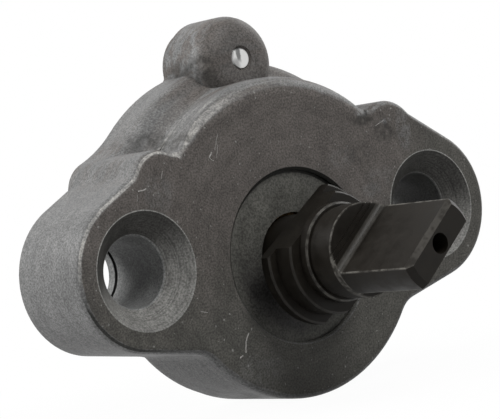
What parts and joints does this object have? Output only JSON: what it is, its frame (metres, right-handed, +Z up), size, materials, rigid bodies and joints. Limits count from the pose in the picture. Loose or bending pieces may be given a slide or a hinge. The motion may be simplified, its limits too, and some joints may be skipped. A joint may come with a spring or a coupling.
{
  "type": "engine oil pump",
  "caption": "Gerotor oil pump: cast two-ear body with conical bolt seats and a dowel lug, ported rear cover, and a drive shaft with flatted discs and a milled tang.",
  "frame": {"origin": "on the drive shaft's axis, in the rear mounting face", "axes": "+X along the line of the two bolt holes, +Z up toward the dowel lug, +Y out of the mounting face into the engine, so the drive shaft points along -Y"},
  "size_m": [0.084, 0.0499, 0.0617],
  "materials": {
    "cast_body": "dull grey casting with a fine grain",
    "bearing_bronze": "plain turned bronze",
    "dark_shaft_steel": "oil-blackened, finely turned and milled",
    "ground_steel": "ground",
    "sintered_steel": "sintered, with ground faces",
    "cover_metal": "flat machined plate with a dull edge",
    "screw_steel": "dark plated"
  },
  "bodies": {
    "pump_body": {"pump_housing": "cast_body", "shaft_bush": "bearing_bronze", "rear_cover": "cover_metal", "cover_screw_left": "screw_steel", "cover_screw_right": "screw_steel", "locating_dowel": "ground_steel"},
    "shaft": {"drive_shaft": "dark_shaft_steel", "drive_pin": "ground_steel", "inner_rotor": "sintered_steel"},
    "ring": {"outer_rotor": "sintered_steel"}
  },
  "joints": [
    {"name": "shaft_spin", "type": "hinge", "parent": "pump_body", "child": "shaft", "pos_m": [0, 0, 0], "axis": [0, -1, 0], "continuous": true},
    {"name": "outer_rotor_spin", "type": "hinge", "parent": "pump_body", "child": "ring", "pos_m": [0, 0, 0.0031], "axis": [0, -1, 0], "continuous": true}
  ],
  "couplings": [
    {"joint": "outer_rotor_spin", "follows": "shaft_spin", "ratio": 0.8}
  ]
}
